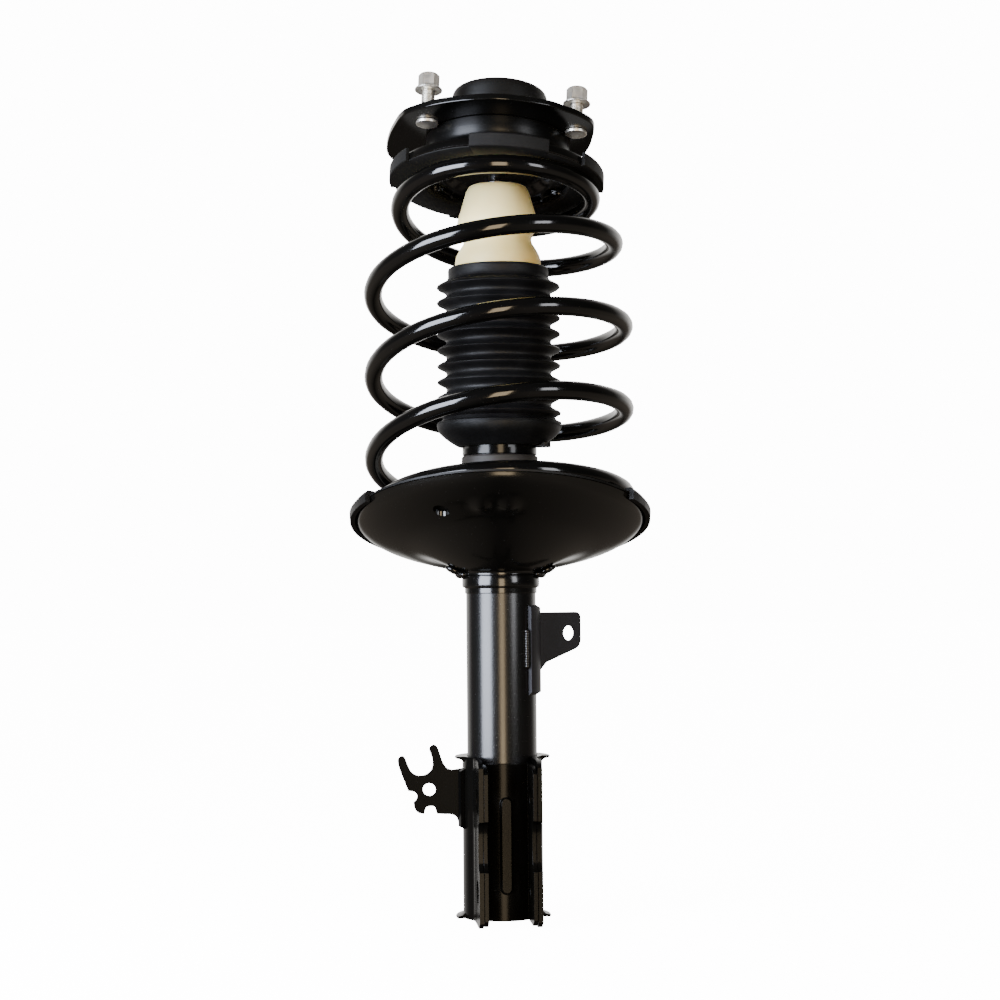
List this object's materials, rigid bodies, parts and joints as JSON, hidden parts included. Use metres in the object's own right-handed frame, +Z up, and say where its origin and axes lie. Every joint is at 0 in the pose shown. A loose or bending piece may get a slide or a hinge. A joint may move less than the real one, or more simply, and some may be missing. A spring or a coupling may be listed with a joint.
{
  "type": "strut assembly",
  "caption": "Complete front strut: telescopic damper with knuckle clamp, inclined coil spring between two seats, bump stop, bellows and rubber top mount with studs.",
  "frame": {"origin": "on the damper's axis, level with the lower edge of the knuckle clamp, which holds the strut on a car", "axes": "+Z up along the damper; -Y is the side the clamp opens to, which is outboard on a car; +X is the side of the brake hose bracket"},
  "size_m": [0.22, 0.22, 0.6111],
  "materials": {
    "satin_black_paint": "satin black stove enamel",
    "gloss_black_paint": "gloss black electro-coat",
    "spring_coat": "gloss black powder coat over sprung wire",
    "black_rubber": "matte moulded rubber",
    "boot_rubber": "matte moulded bellows",
    "seal_rubber": "dark seal rubber",
    "cream_foam": "cream microcellular urethane, faintly translucent",
    "sintered_iron": "sintered, oiled",
    "bare_steel": "ground steel",
    "hard_chrome": "ground hard chrome",
    "zinc_plate": "clear zinc plate"
  },
  "bodies": {
    "body": {"outer_tube": "satin_black_paint", "base_cap": "satin_black_paint", "base_valve": "sintered_iron", "pressure_tube": "bare_steel", "rod_guide": "sintered_iron", "rod_seal": "seal_rubber", "striker_cap": "gloss_black_paint", "knuckle_clamp": "gloss_black_paint", "clamp_inner_channel": "gloss_black_paint", "brake_hose_bracket": "satin_black_paint", "sensor_lead_bracket": "satin_black_paint", "lower_spring_seat": "gloss_black_paint", "lower_spring_pad": "black_rubber", "seat_support_ring": "gloss_black_paint"},
    "rod": {"piston_rod": "hard_chrome", "piston": "sintered_iron", "piston_band": "seal_rubber", "piston_nut": "bare_steel", "rebound_stop": "seal_rubber", "bump_stop": "cream_foam", "dust_boot": "boot_rubber", "coil_spring": "spring_coat", "upper_spring_seat": "gloss_black_paint", "upper_spring_pad": "black_rubber", "bearing_inner_race": "bare_steel", "rod_washer": "zinc_plate", "rod_nut": "zinc_plate"},
    "ball_cage": {"bearing_ball_cage": "bare_steel"},
    "top_mount": {"bearing_outer_race": "bare_steel", "mount_plate": "gloss_black_paint", "top_cup": "satin_black_paint", "mount_rubber": "black_rubber", "mount_drum": "gloss_black_paint", "left_stud": "zinc_plate", "right_stud": "zinc_plate", "rear_stud": "zinc_plate", "left_flange_nut": "zinc_plate", "right_flange_nut": "zinc_plate", "rear_flange_nut": "zinc_plate"}
  },
  "joints": [
    {"name": "damper_stroke", "type": "slide", "parent": "body", "child": "rod", "axis": [0, 0, 1], "range_m": [-0.15, 0], "stiffness_N_per_m": 24000, "springref_m": 0.06, "deforming": ["coil_spring", "dust_boot", "bump_stop"]},
    {"name": "mount_swivel", "type": "hinge", "parent": "rod", "child": "top_mount", "pos_m": [0, 0, 0.548], "axis": [0.0436, 0.1615, 0.9859], "continuous": true},
    {"name": "ball_cage_roll", "type": "hinge", "parent": "rod", "child": "ball_cage", "pos_m": [0, 0, 0.548], "axis": [0.0436, 0.1615, 0.9859], "continuous": true}
  ],
  "couplings": [
    {"joint": "ball_cage_roll", "follows": "mount_swivel", "ratio": 0.5}
  ]
}
